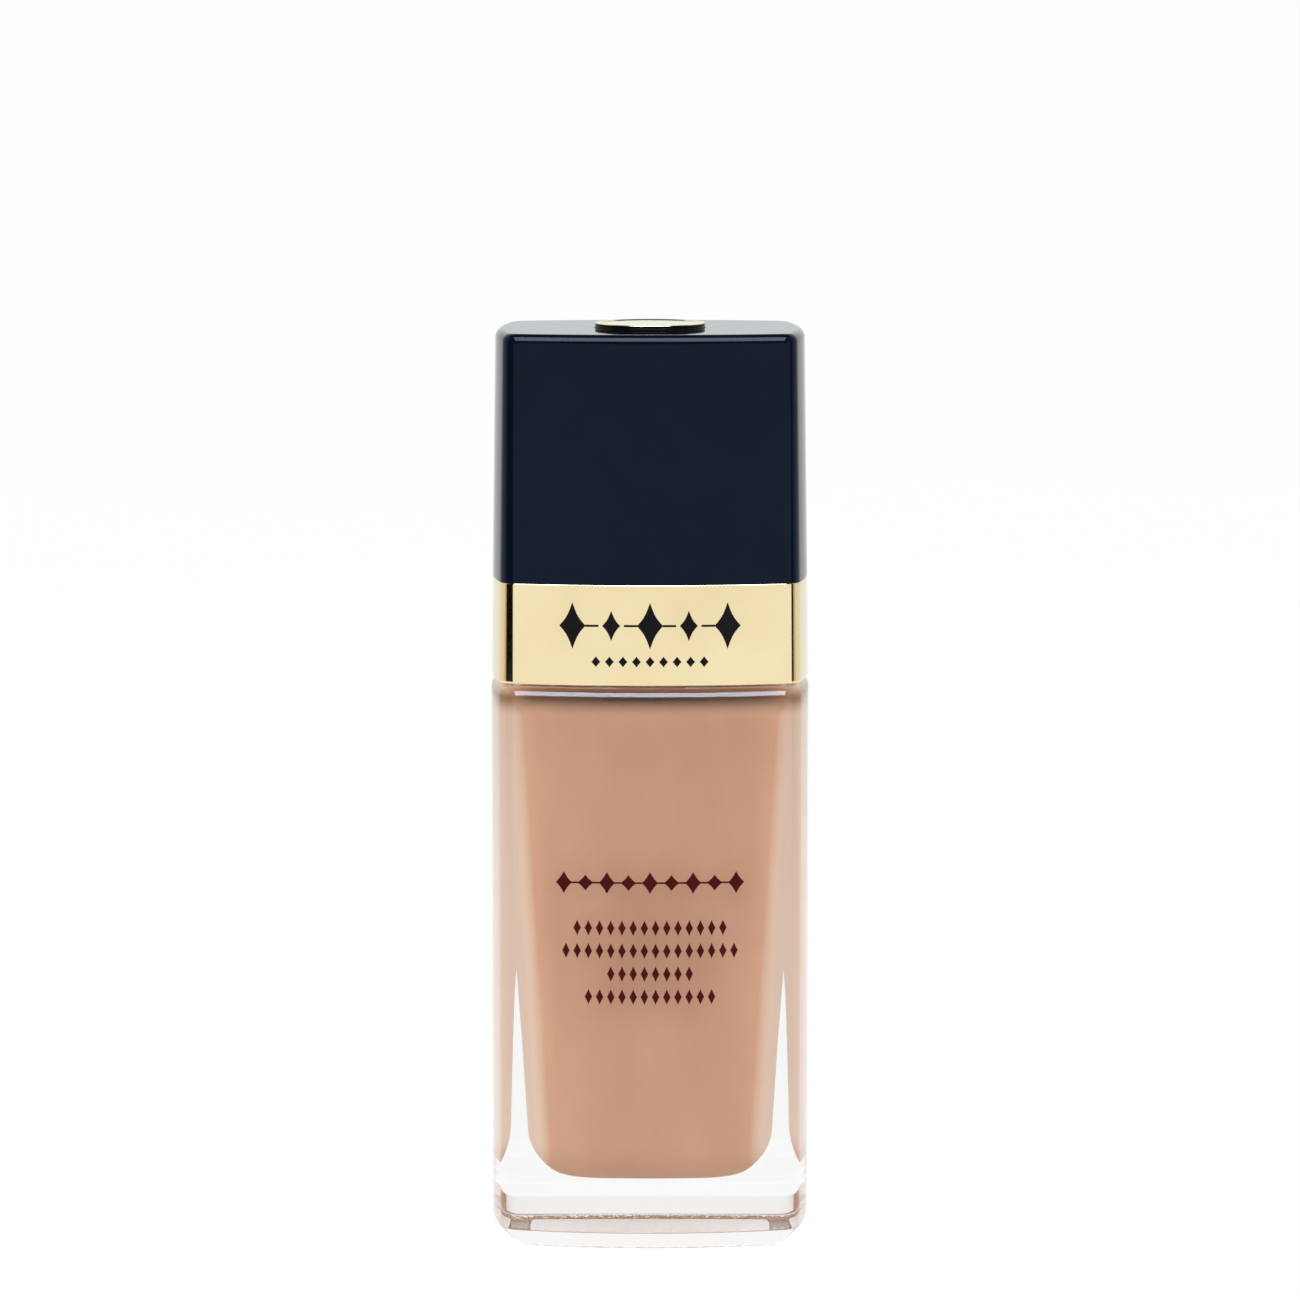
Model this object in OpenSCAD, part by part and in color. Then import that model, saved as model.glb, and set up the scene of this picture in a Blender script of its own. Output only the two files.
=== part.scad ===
// Foundation bottle: a heavy glass bottle with bowed sides, a screw-on treatment pump
// and a pull-off cap with a metal band. Millimetres, +Z up, the front faces -Y, and the
// origin is the centre of the base.

/* [Bottle] */
// Width of the glass body
body_w = 36; // [34:0.5:44]
// Depth of the glass body, front to back
body_d = 28.5; // [28:0.5:36]
// Height of the glass body, base to shoulder
shoulder_z = 64; // [62:0.5:80]
// Radius of the bowed front and back faces
face_r = 65; // [50:1:120]
// Radius of the bowed side faces
side_r = 50; // [40:1:100]
// Radius of the four upright corners
corner_r = 2.6; // [2.2:0.1:5]
// Height and depth of the bevel round the base
heel = 2.4; // [1:0.1:3]
// Thickness of the glass under the contents
base_t = 7.8; // [6:0.1:10]
// Side wall at the shoulder
wall_top = 2.2; // [1.8:0.1:3]
// Side wall just above the base
wall_low = 5.4; // [3:0.1:6]
// Front and back wall
wall_face = 2.7; // [2:0.1:4]

/* [Neck] */
// Outside diameter of the plain neck
neck_d = 16.2; // [15.5:0.1:17]
// Bore of the neck
neck_bore = 11.6; // [11.4:0.1:12]
// Height of the neck above the shoulder
neck_h = 12; // [11:0.5:14]
// Rise of the screw thread in one turn
thread_pitch = 3.2; // [2.8:0.1:3.6]
// How far the neck's thread stands out
thread_t = 0.85; // [0.6:0.05:1]

/* [Pump] */
// Travel of the pump head
stroke = 4; // [2:0.5:4.5]
// Bore of the pump cylinder
pump_bore = 7.2; // [6.8:0.1:7.4]
// Outside diameter of the stem
stem_d = 4.2; // [3.8:0.1:4.4]
// Outside diameter of the dip tube
tube_d = 3.2; // [2.6:0.1:3.6]
// Wire of the return spring
wire_d = 0.7; // [0.5:0.05:0.8]
// Diameter of the inlet valve ball
ball_d = 3.6; // [3.2:0.1:4]
// Outside diameter of the pump head
head_d = 15.4; // [14.5:0.1:16]
// Height of the pump head
head_h = 13.6; // [12.5:0.1:14]
// How far the nozzle reaches from the pump's axis
nozzle_reach = 10.3; // [9.5:0.1:10.4]

/* [Cap] */
// Height of the cap
cap_h = 38.9; // [38.5:0.1:48]
// Height of the metal band
band_h = 11.3; // [8:0.1:16]
// Metal thickness of the band
band_t = 0.5; // [0.3:0.05:0.7]
// Wall of the cap's outer shell
cap_wall = 1.6; // [1.4:0.1:2]
// Draft of the cap's sides, in degrees
cap_draft = 0.8; // [0.2:0.1:1]
// Radius round the cap's top edge
cap_edge = 0.95; // [0.5:0.05:1.2]
// Diameter of the disc set in the cap's top
medallion_d = 12.4; // [8:0.2:16]
// How far the disc stands proud
medallion_proud = 0.55; // [0.2:0.05:0.8]

/* [Hidden] */
$fn = 64;

gap = 0.05;         // clearance of one sliding plastic piece in another
loose = 0.3;        // clearance that keeps two pieces well apart
eps = 0.01;         // overshoot of a cut through a face

// Glass
plinth_h = 0.9;     // raised pad on the shoulder that keeps the cap square
plinth_in = 2.5;    // inset of that pad from the glass's sides
shoulder_r = 1.3;
recess_h = 0.5;     // hollow under the base
recess_in = 5;
shoulder_t = 1.8;   // glass over the contents, at the shoulder
ceiling_z = shoulder_z - shoulder_t;
bowl_r = 5.6;       // rounding between the cavity's floor and its walls
dome_r = 2;         // rounding between the cavity's walls and its ceiling
cavity_w = body_w - 2*wall_top;
cavity_w_low = body_w - 2*wall_low;
cavity_d = body_d - 2*wall_face;
cavity_corner = 4;
neck_top = shoulder_z + neck_h;

// Pump, from the neck's sealing face upwards
gasket_t = 0.9;
flange_t = 1.2;
flange_d = neck_d - 0.2;
flange_z = neck_top + gasket_t;
deck_z = flange_z + flange_t;         // top of the housing's flange
closure_lid = 1.4;
closure_wall = 1.15;
thread_play = 0.2;                    // radial room between the two threads
closure_bore = neck_d + 2*thread_t + 2*thread_play;
closure_d = closure_bore + 2*closure_wall;
closure_z = shoulder_z + plinth_h + 1.1;
lid_z = deck_z + gap;                 // underside of the closure's lid
collar_t = 0.35;
collar_top = lid_z + closure_lid + collar_t;
collar_d = closure_d + 2*collar_t + 0.04;
turret_d = 12.6;
turret_tube = 8.4;
turret_z = deck_z + 5.9;              // top of the turret
turret_flange = 1.1;

// Pump cylinder, from its step downwards
housing_d = neck_bore - 1;
step_z = flange_z - 22.9;             // where the spring sits
chamber_bore = 4.6;
chamber_d = 7.4;
chamber_h = 8;
tail_d = tube_d + 2;
tail_h = 8;
tail_z = step_z - chamber_h - tail_h;
seat_d = 2.4;                         // hole that the ball closes
seat_cone = (chamber_bore - seat_d)/2;   // a cone of 45 degrees
seat_z = step_z - chamber_h + 1.4;
ball_z = seat_z + ball_d/2*sqrt(2) - seat_d/2 + 0.02;
ball_rise = 0.8;
stop_z = ball_z + ball_d/2 + ball_rise + 0.05;
tube_top = tail_z + tail_h - 1;
tube_end = base_t + 1.6;
tube_bore = 1.1;                      // radius

// Stem and piston
plug_z = deck_z - 2.6;                // underside of the turret's plug
washer_t = 0.8;
shoulder_top = plug_z - washer_t;     // top of the stem's collar
stem_collar_t = 0.8;
slip = 0.6;                           // the piston's lost motion on the stem
piston_top = shoulder_top - stem_collar_t - slip;
piston_h = 4.3;
piston_z = piston_top - piston_h;
piston_lip = 0.55;
stem_bore = 2.2;
stem_z = piston_z + 0.6;
seat_h = 1.8;                         // height of the piston seat's head
seat_bottom = piston_z - seat_h;
seat_head_d = pump_bore - 1;
spring_d = pump_bore - 0.8;
spring_turns = 7;

// Pump head
head_z = turret_z + 1;
head_top = head_z + head_h;
skirt_t = 1.2;
head_lid = 1.4;
boss_d = 7.2;
boss_z = turret_z + stroke + 0.8;     // the boss clears the turret when pressed
nozzle_z = head_top - 4.4;
nozzle_d = 5;
nozzle_bore = 1.8;
spout_h = head_d/2 - 0.7*skirt_t - 2; // the boss behind the nozzle ends inside the skirt
socket_top = nozzle_z - 1.2;
stem_top = socket_top - 0.1;
sleeve_t = 0.35;
sleeve_d = head_d + 2*sleeve_t + 0.04;

// Cap
cap_z = shoulder_z + 0.35;
cap_top = cap_z + cap_h;
cap_play = 0.05;
cap_lid = 1.8;
lip_t = 0.45;                         // the band's rolled foot
band_top = cap_z + band_h;
medallion_seat = 0.8;
liner_z = shoulder_z + plinth_h + 0.3;
liner_t = 1.2;
liner_bore = collar_d + 0.5;
liner_top = collar_top + 0.6;
liner_rib = 0.8;
liner_wall = 1;                       // of the liner's sleeve
liner_fit = 0.08;                     // between the liner and the shell

// ---- Outlines ----
// Points of an arc of radius r about c, from angle a to angle b, without its last point
function arc(c, r, a, b, n) = [for (i = [0:n-1]) let (t = a + (b - a)*i/n) c + r*[cos(t), sin(t)]];

// Centre of the corner arc that touches both bowed faces
function corner_centre(w, d, r) =
    let (face = [0, d/2 - face_r], side = [w/2 - side_r, 0],
         a = face_r - r, b = side_r - r, span = norm(side - face),
         along = (a*a - b*b + span*span)/(2*span), across = sqrt(a*a - along*along),
         u = (side - face)/span)
    face + along*u + across*[u.y, -u.x];

function quarter(w, d, r) =
    let (c = corner_centre(w, d, r), face = [0, d/2 - face_r], side = [w/2 - side_r, 0],
         a = atan2(c.y - side.y, c.x - side.x), b = atan2(c.y - face.y, c.x - face.x))
    concat(arc(side, side_r, 0, a, 4), arc(c, r, a, b, 6), arc(face, face_r, b, 90, 5));

function mirrored(points) = [for (i = [len(points)-1:-1:1]) points[i]];

// A rectangle with four bowed sides and rounded corners
function outline(w, d, r) =
    let (q = quarter(w, d, r), last = [[0, d/2]],
         half = concat(q, last, [for (p = mirrored(q)) [-p.x, p.y]], [[-q[0].x, q[0].y]]),
         n = len(half))
    concat(half, [for (i = [n-2:-1:1]) [half[i].x, -half[i].y]]);

function at_z(points, z) = [for (p = points) [p.x, p.y, z]];

// The glass's outline, inset on all sides
function glass_ring(inset, z) =
    at_z(outline(body_w - 2*inset, body_d - 2*inset, max(corner_r - inset/2, 0.8)), z);

// How far the cap's side leans in at a height
function lean(z) = cap_play + (z - cap_z)*tan(cap_draft);
function cap_outline(inset, z) =
    let (i = lean(z) + inset) outline(body_w - 2*i, body_d - 2*i, max(corner_r - i, 0.8));
function cap_ring(inset, z) = at_z(cap_outline(inset, z), z);

function circle_ring(r, z) =
    let (n = len(outline(body_w, body_d, corner_r)))
    [for (p = outline(body_w, body_d, corner_r)) let (t = atan2(p.y, p.x)) [r*cos(t), r*sin(t), z]];

// ---- Skins ----
// A closed solid through rings of equal length, in order, with flat ends
module skin(rings) {
    n = len(rings[0]);
    m = len(rings);
    sides = [for (j = [0:m-2], i = [0:n-1]) let (k = (i + 1) % n)
        each [[j*n + i, j*n + k, (j + 1)*n + k], [j*n + i, (j + 1)*n + k, (j + 1)*n + i]]];
    ends = [[for (i = [n-1:-1:0]) i], [for (i = [0:n-1]) (m - 1)*n + i]];
    polyhedron(points = [for (r = rings) each r],
        faces = [for (f = concat(sides, ends)) [for (i = [len(f)-1:-1:0]) f[i]]], convexity = 6);
}

// A closed loop of rings: a tube's wall
module ring_wall(rings) {
    n = len(rings[0]);
    m = len(rings);
    faces = [for (j = [0:m-1], i = [0:n-1]) let (k = (i + 1) % n, a = j*n, b = ((j + 1) % m)*n)
        each [[a + i, a + k, b + k], [a + i, b + k, b + i]]];
    polyhedron(points = [for (r = rings) each r], faces = faces, convexity = 6);
}

// A screw thread's ridge, from r_root to r_crest, that fades out at both ends
module thread_ridge(r_root, r_crest, z, turns, w_root, w_crest) {
    steps = round(turns*40);
    fade = 4;
    s = sign(r_crest - r_root);
    skin([for (i = [0:steps])
        let (t = 360*turns*i/steps, rise = z + thread_pitch*turns*i/steps,
             k = min(1, min(i, steps - i)/fade), tip = r_root + (r_crest - r_root)*(0.35 + 0.65*k))
        [for (p = [[r_root, w_root/2], [tip, w_crest/2], [tip, -w_crest/2], [r_root, -w_root/2]])
            [p[0]*cos(t), p[0]*sin(t), rise + s*p[1]]]]);
}

// ---- Bottle ----
function cavity_ring(inset, z, grow = 0) =
    let (s = min(max((z - base_t)/(ceiling_z - base_t), 0), 1),
         w = cavity_w_low + (cavity_w - cavity_w_low)*s)
    at_z(outline(w - 2*inset + 2*grow, cavity_d - 2*inset + 2*grow, cavity_corner), z);

function bowl(grow) = [for (t = [0:15:90])
    cavity_ring(bowl_r*(1 - sin(t)), base_t + bowl_r*(1 - cos(t)), grow)];
function dome(grow) = [for (t = [0:22.5:90])
    cavity_ring(dome_r*(1 - cos(t)), ceiling_z - dome_r*(1 - sin(t)), grow)];
function cavity_sides(grow) = [for (s = [0.25, 0.5, 0.75])
    cavity_ring(0, base_t + bowl_r + s*(ceiling_z - dome_r - base_t - bowl_r), grow)];

module neck() {
    difference() {
        cylinder(d = neck_d, h = neck_top - ceiling_z - loose);
        translate([0, 0, -eps]) cylinder(d = neck_bore, h = neck_h + 3);
    }
}

module glass_bottle() color([0.9, 0.94, 0.93, 0.4]) {
    throat = neck_d/2 - 0.9;    // the body's own hole, inside the neck's wall
    outer = concat(
        [glass_ring(recess_in + 0.4, recess_h), glass_ring(recess_in, 0), glass_ring(heel, 0),
         glass_ring(0, heel), glass_ring(0, shoulder_z - shoulder_r)],
        [for (t = [22.5:22.5:90]) glass_ring(shoulder_r*(1 - cos(t)), shoulder_z - shoulder_r*(1 - sin(t)))],
        [glass_ring(plinth_in, shoulder_z), glass_ring(plinth_in + 0.2, shoulder_z + plinth_h),
         circle_ring(throat, shoulder_z + plinth_h)]);
    inner = concat(bowl(0), cavity_sides(0), dome(0), [circle_ring(throat, ceiling_z)]);
    union() {
        skin(concat(outer, [for (i = [len(inner)-1:-1:0]) inner[i]]));
        translate([0, 0, ceiling_z + loose]) neck();
        thread_ridge(neck_d/2 - 0.4, neck_d/2 + thread_t, neck_top - 5.2, 1.25, 2, 1);
    }
}

module foundation_fill() color([0.77, 0.58, 0.46]) difference() {
    skin(concat(bowl(-gap), cavity_sides(-gap), dome(-gap)));
    translate([0, 0, step_z - loose]) cylinder(d = housing_d + 0.4, h = 40);
    translate([0, 0, step_z - chamber_h - loose]) cylinder(d = chamber_d + 0.4, h = 20);
    translate([0, 0, tail_z - loose]) cylinder(d = tail_d + 0.4, h = 20);
    translate([0, 0, tube_end - loose]) cylinder(d = tube_d + 0.4, h = 60);
}

// ---- Pump ----
module turned(points) rotate_extrude($fn = 96) polygon(points);

module pump_housing() color("ghostwhite") difference() {
    union() {
        translate([0, 0, flange_z]) cylinder(d = flange_d, h = flange_t);
        translate([0, 0, step_z]) cylinder(d = housing_d, h = flange_z - step_z + eps);
        translate([0, 0, step_z - chamber_h]) cylinder(d = chamber_d, h = chamber_h + eps);
        translate([0, 0, tail_z]) cylinder(d = tail_d, h = tail_h + eps);
    }
    translate([0, 0, step_z + 1]) cylinder(d = pump_bore, h = 40);
    translate([0, 0, stop_z]) cylinder(d = chamber_bore, h = step_z + 2 - stop_z);
    translate([0, 0, seat_z + seat_cone]) cylinder(d = chamber_bore, h = stop_z - 0.5 - seat_z - seat_cone);
    translate([0, 0, seat_z]) cylinder(d1 = seat_d, d2 = chamber_bore, h = seat_cone + eps);
    translate([0, 0, tail_z + 1]) cylinder(d = seat_d, h = stop_z - tail_z);
    translate([0, 0, tail_z - eps]) cylinder(d = tube_d + 2*gap, h = tube_top - tail_z + gap);
    for (a = [0:120:240]) rotate(a) translate([0, -0.5, stop_z - 1]) cube([chamber_bore/2 - 0.1, 1, 2]);
}

module dip_tube() color("aliceblue") difference() {
    translate([0, 0, tube_end]) cylinder(d = tube_d, h = tube_top - tube_end);
    translate([0, 0, tube_end - eps]) cylinder(r = tube_bore, h = tube_top - tube_end + 1);
    translate([0, 0, tube_end]) rotate([45, 0, 0]) cube([tube_d + 1, 1.6, 1.6], center = true);
}

module inlet_ball() color("silver") translate([0, 0, ball_z]) sphere(d = ball_d);

module return_spring() color("silver") {
    low = step_z + 1 + wire_d/2 + gap;
    high = seat_bottom - wire_d/2 - gap;
    r = spring_d/2 - wire_d/2;
    steps = spring_turns*20;
    skin([for (i = [0:steps]) let (t = 360*spring_turns*i/steps, z = low + (high - low)*i/steps)
        [for (k = [0:7]) let (q = -45*k)
            [(r + wire_d/2*cos(q))*cos(t), (r + wire_d/2*cos(q))*sin(t), z + wire_d/2*sin(q)]]]);
}

module piston_seat() color("white") turned([[0, seat_bottom - 0.9], [1.9, seat_bottom - 0.9],
    [2.1, seat_bottom], [seat_head_d/2, seat_bottom], [seat_head_d/2, seat_bottom + 0.6],
    [stem_d/2 + 0.3, piston_z - gap], [stem_bore/2, piston_z - gap], [stem_bore/2, stem_z + 2],
    [0, stem_z + 2]]);

module piston() color("white") {
    r = pump_bore/2 - gap;
    bore = stem_d/2 + gap;
    turned([[bore + 0.45, piston_z], [r - 0.35, piston_z], [r, piston_z + 0.3], [r, piston_z + 0.9],
        [r - piston_lip, piston_z + 1.5], [r - piston_lip, piston_top - 1.5], [r, piston_top - 0.9],
        [r, piston_top - 0.3], [r - 0.35, piston_top], [bore, piston_top], [bore, piston_z + 2.3],
        [bore + 0.45, piston_z + 1.9]]);
}

module stem() color("white") difference() {
    union() {
        translate([0, 0, stem_z]) cylinder(d = stem_d, h = stem_top - stem_z);
        translate([0, 0, shoulder_top - stem_collar_t]) cylinder(d = stem_d + 1.4, h = stem_collar_t);
    }
    translate([0, 0, stem_z - eps]) cylinder(d = stem_bore, h = stem_top - stem_z + 1);
    // Cross ports that the piston uncovers
    translate([0, 0, stem_z + 0.75]) rotate([90, 0, 0]) cylinder(d = 0.9, h = stem_d + 1, center = true);
}

module stem_gasket() color("dimgray") translate([0, 0, shoulder_top]) difference() {
    cylinder(d = pump_bore - 2*gap, h = washer_t);
    translate([0, 0, -eps]) cylinder(d = stem_d + 2*gap, h = washer_t + 1);
}

module turret() color("black") difference() {
    union() {
        translate([0, 0, plug_z]) cylinder(d = pump_bore - 2*gap, h = deck_z - plug_z + eps);
        translate([0, 0, deck_z]) cylinder(d = turret_d, h = turret_flange);
        translate([0, 0, deck_z]) cylinder(d = turret_tube, h = turret_z - deck_z);
    }
    translate([0, 0, plug_z - eps]) cylinder(d = stem_d + 2*gap, h = turret_z - plug_z + 1);
}

module neck_gasket() color("white") translate([0, 0, neck_top]) difference() {
    cylinder(d = flange_d, h = gasket_t);
    translate([0, 0, -eps]) cylinder(d = housing_d + 2*gap, h = gasket_t + 1);
}

module closure() color("black") {
    difference() {
        translate([0, 0, closure_z]) cylinder(d = closure_d, h = lid_z + closure_lid - closure_z);
        translate([0, 0, closure_z - eps]) cylinder(d = closure_bore, h = lid_z - closure_z + eps);
        cylinder(d = turret_d + 2*gap, h = 200);
    }
    // The female ridge runs half a pitch below the neck's
    thread_ridge(closure_bore/2 + 0.4, neck_d/2 + thread_play, neck_top - 5.2 - thread_pitch/2,
        1.1, 1.5, 0.8);
}

module collar_shell() color("gold") difference() {
    translate([0, 0, closure_z]) cylinder(d = collar_d, h = collar_top - closure_z);
    translate([0, 0, closure_z - eps])
        cylinder(d = closure_d + 0.04, h = lid_z + closure_lid + 0.02 - closure_z);
    cylinder(d = turret_d + 0.4, h = 200);
}

// ---- Pump head ----
module actuator() color("black") difference() {
    union() {
        difference() {
            translate([0, 0, head_z]) cylinder(d = head_d, h = head_h);
            translate([0, 0, head_z - eps]) cylinder(d = head_d - 2*skirt_t, h = head_h - head_lid);
        }
        translate([0, 0, boss_z]) cylinder(d = boss_d, h = head_top - boss_z - eps);
        translate([0, -2, nozzle_z]) rotate([90, 0, 0]) cylinder(d = nozzle_d + 1, h = spout_h);
    }
    translate([0, 0, boss_z - eps]) cylinder(d = stem_d + 2*gap, h = socket_top - boss_z);
    translate([0, 0, socket_top - 1]) cylinder(d = stem_bore, h = nozzle_z - socket_top + 1);
    translate([0, 0, nozzle_z]) rotate([90, 0, 0]) cylinder(d = nozzle_bore, h = head_d);
    translate([0, -head_d/2 + 2, nozzle_z]) rotate([90, 0, 0]) cylinder(d = nozzle_d - 1.6 + 2*gap, h = 10);
    translate([0, 0, head_top + 34.4]) sphere(r = 35, $fn = 128);    // hollow for the fingertip
}

module actuator_sleeve() color("gold") difference() {
    translate([0, 0, head_z + 0.2]) cylinder(d = sleeve_d, h = head_h - 0.2);
    translate([0, 0, head_z]) cylinder(d = head_d + 0.04, h = head_h + 1);
    translate([0, 0, nozzle_z]) rotate([90, 0, 0]) cylinder(d = nozzle_d + 0.3, h = 20);
}

// The tip plugs into the head through the sleeve's hole
module nozzle_tip() color("black") translate([0, 0, nozzle_z]) rotate([90, 0, 0]) turned([
    [nozzle_bore/2, head_d/2 - 2 + gap], [nozzle_d/2 - 0.8, head_d/2 - 2 + gap],
    [nozzle_d/2 - 0.8, head_d/2 + 0.02], [nozzle_d/2, head_d/2 + 0.02], [nozzle_d/2, nozzle_reach - 0.8],
    [nozzle_d/2 - 0.7, nozzle_reach], [nozzle_bore/2, nozzle_reach]]);

// ---- Cap ----
module cap_shell() color("midnightblue") difference() {
    foot = cap_z + lip_t;
    skin(concat(
        [cap_ring(cap_wall + 0.8, cap_top - cap_lid), cap_ring(cap_wall + 0.2, cap_top - cap_lid - 0.3),
         cap_ring(cap_wall, cap_top - cap_lid - 0.8), cap_ring(cap_wall, foot),
         cap_ring(band_t, foot), cap_ring(band_t, band_top), cap_ring(0, band_top),
         cap_ring(0, cap_top - cap_edge)],
        [for (t = [15:15:90]) cap_ring(cap_edge*(1 - cos(t)), cap_top - cap_edge*(1 - sin(t)))]));
    translate([0, 0, cap_top - medallion_seat]) cylinder(d = medallion_d + 2*gap, h = 2, $fn = 96);
}

module cap_band() color("gold") {
    top = band_top - 0.04;
    ring_wall([cap_ring(band_t - 0.03, top), cap_ring(0, top), cap_ring(0, cap_z + 0.25),
        cap_ring(0.07, cap_z + 0.07), cap_ring(0.25, cap_z), cap_ring(cap_wall, cap_z),
        cap_ring(cap_wall, cap_z + lip_t - 0.03), cap_ring(band_t - 0.03, cap_z + lip_t - 0.03)]);
}

module cap_liner() color("ghostwhite") difference() {
    sleeve_r = liner_bore/2 + liner_wall;
    fin_end = body_w/2 - lean(liner_top) - cap_wall - liner_fit;
    union() {
        translate([0, 0, liner_z]) linear_extrude(liner_t)
            polygon(cap_outline(cap_wall + liner_fit, liner_z + liner_t));
        translate([0, 0, liner_z]) cylinder(r = sleeve_r, h = liner_top - liner_z);
        // Fins brace the sleeve against the shell's short sides
        for (s = [-1, 1]) translate([s*(sleeve_r - 0.4 + fin_end)/2, 0, (liner_z + liner_top)/2])
            cube([fin_end - sleeve_r + 0.4, 1, liner_top - liner_z], center = true);
    }
    difference() {
        translate([0, 0, liner_z - eps]) cylinder(d = liner_bore, h = 40);
        for (a = [30:60:330]) rotate(a) translate([collar_d/2 + 0.03, -liner_rib/2, liner_z])
            cube([2, liner_rib, liner_top - liner_z]);
    }
}

module cap_medallion() color("gold") turned([[0, cap_top - medallion_seat],
    [medallion_d/2, cap_top - medallion_seat], [medallion_d/2, cap_top + 0.2],
    [medallion_d/2 - 0.12, cap_top + 0.26], [medallion_d/2, cap_top + 0.32],
    [medallion_d/2, cap_top + medallion_proud - 0.1], [medallion_d/2 - 0.1, cap_top + medallion_proud],
    [0, cap_top + medallion_proud]]);

glass_bottle();
foundation_fill();
dip_tube();
pump_housing();
inlet_ball();
return_spring();
piston_seat();
piston();
stem();
stem_gasket();
turret();
neck_gasket();
closure();
collar_shell();
actuator();
actuator_sleeve();
nozzle_tip();
cap_shell();
cap_band();
cap_liner();
cap_medallion();
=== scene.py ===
import math
import bmesh
import bpy
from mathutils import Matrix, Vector


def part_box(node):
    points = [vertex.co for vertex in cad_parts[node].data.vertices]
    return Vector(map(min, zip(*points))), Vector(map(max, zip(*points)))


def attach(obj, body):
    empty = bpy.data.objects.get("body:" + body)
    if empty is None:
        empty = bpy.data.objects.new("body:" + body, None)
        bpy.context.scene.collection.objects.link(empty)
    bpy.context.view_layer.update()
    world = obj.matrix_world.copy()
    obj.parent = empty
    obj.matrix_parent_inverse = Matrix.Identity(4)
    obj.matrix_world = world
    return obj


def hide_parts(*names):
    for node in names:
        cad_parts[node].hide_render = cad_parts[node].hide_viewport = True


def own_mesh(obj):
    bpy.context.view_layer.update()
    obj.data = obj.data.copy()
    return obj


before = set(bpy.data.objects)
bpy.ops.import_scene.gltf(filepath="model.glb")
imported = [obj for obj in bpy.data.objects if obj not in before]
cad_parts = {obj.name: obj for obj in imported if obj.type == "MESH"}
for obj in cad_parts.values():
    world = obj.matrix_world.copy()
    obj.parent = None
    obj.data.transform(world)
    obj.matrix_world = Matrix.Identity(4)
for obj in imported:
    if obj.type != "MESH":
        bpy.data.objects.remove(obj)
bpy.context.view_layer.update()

mm = 0.001
fullTurn = 2 * math.pi


# Lengths are in millimetres until finishMesh makes a mesh of them

# Where each part sits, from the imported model
def boxOf(node):
    low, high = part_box(node)
    return low / mm, high / mm


glassLow, glassHigh = boxOf("glass_bottle")
shellTop = boxOf("cap_shell")[1].z
bandLow, bandHigh = boxOf("cap_band")
discLow, discHigh = boxOf("cap_medallion")
housingLow, housingHigh = boxOf("pump_housing")
tubeFoot = boxOf("dip_tube")[0].z
collarLow, collarHigh = boxOf("collar_shell")
turretLow, turretHigh = boxOf("turret")
headLow, headHigh = boxOf("actuator")
sleeveLow, sleeveHigh = boxOf("actuator_sleeve")
tipLow, tipHigh = boxOf("nozzle_tip")
springLow, springHigh = boxOf("return_spring")

plan = {                      # the plan view that glass and cap share
    "width": glassHigh.x - glassLow.x,
    "depth": glassHigh.y - glassLow.y,
    "faceRadius": 65,
    "sideRadius": 50,
    "cornerRadius": 2.6,
    "leastCorner": 0.8,
    "sidePoints": 14,
    "cornerPoints": 14,
    "facePoints": 24,
}


def arcPoints(centre, radius, start, end, count):
    points = []
    for i in range(count):
        a = start + (end - start) * i / count
        points.append((centre[0] + radius * math.cos(a), centre[1] + radius * math.sin(a)))
    return points


# A rectangle with four bowed sides and rounded corners
def bowedOutline(width, depth, cornerRadius):
    faceC = Vector((0, depth / 2 - plan["faceRadius"]))
    sideC = Vector((width / 2 - plan["sideRadius"], 0))
    a = plan["faceRadius"] - cornerRadius
    b = plan["sideRadius"] - cornerRadius
    span = (sideC - faceC).length
    along = (a * a - b * b + span * span) / (2 * span)
    across = math.sqrt(max(a * a - along * along, 0))
    u = (sideC - faceC) / span
    corner = faceC + u * along + Vector((-u.y, u.x)) * across
    if corner.x < 0 or corner.y < 0:
        corner = faceC + u * along - Vector((-u.y, u.x)) * across
    toSide = corner - sideC
    toFace = corner - faceC
    angleSide = math.atan2(toSide.y, toSide.x)
    angleFace = math.atan2(toFace.y, toFace.x)
    quarter = arcPoints(sideC, plan["sideRadius"], 0, angleSide, plan["sidePoints"])
    quarter += arcPoints(corner, cornerRadius, angleSide, angleFace, plan["cornerPoints"])
    quarter += arcPoints(faceC, plan["faceRadius"], angleFace, math.pi / 2, plan["facePoints"])
    half = quarter + [(0, depth / 2)] + [(-x, y) for x, y in quarter[:0:-1]]
    return half + [(-x, -y) for x, y in half]


arcShare = 0.49         # the most of a flat that one arc takes, so that two never meet


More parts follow.
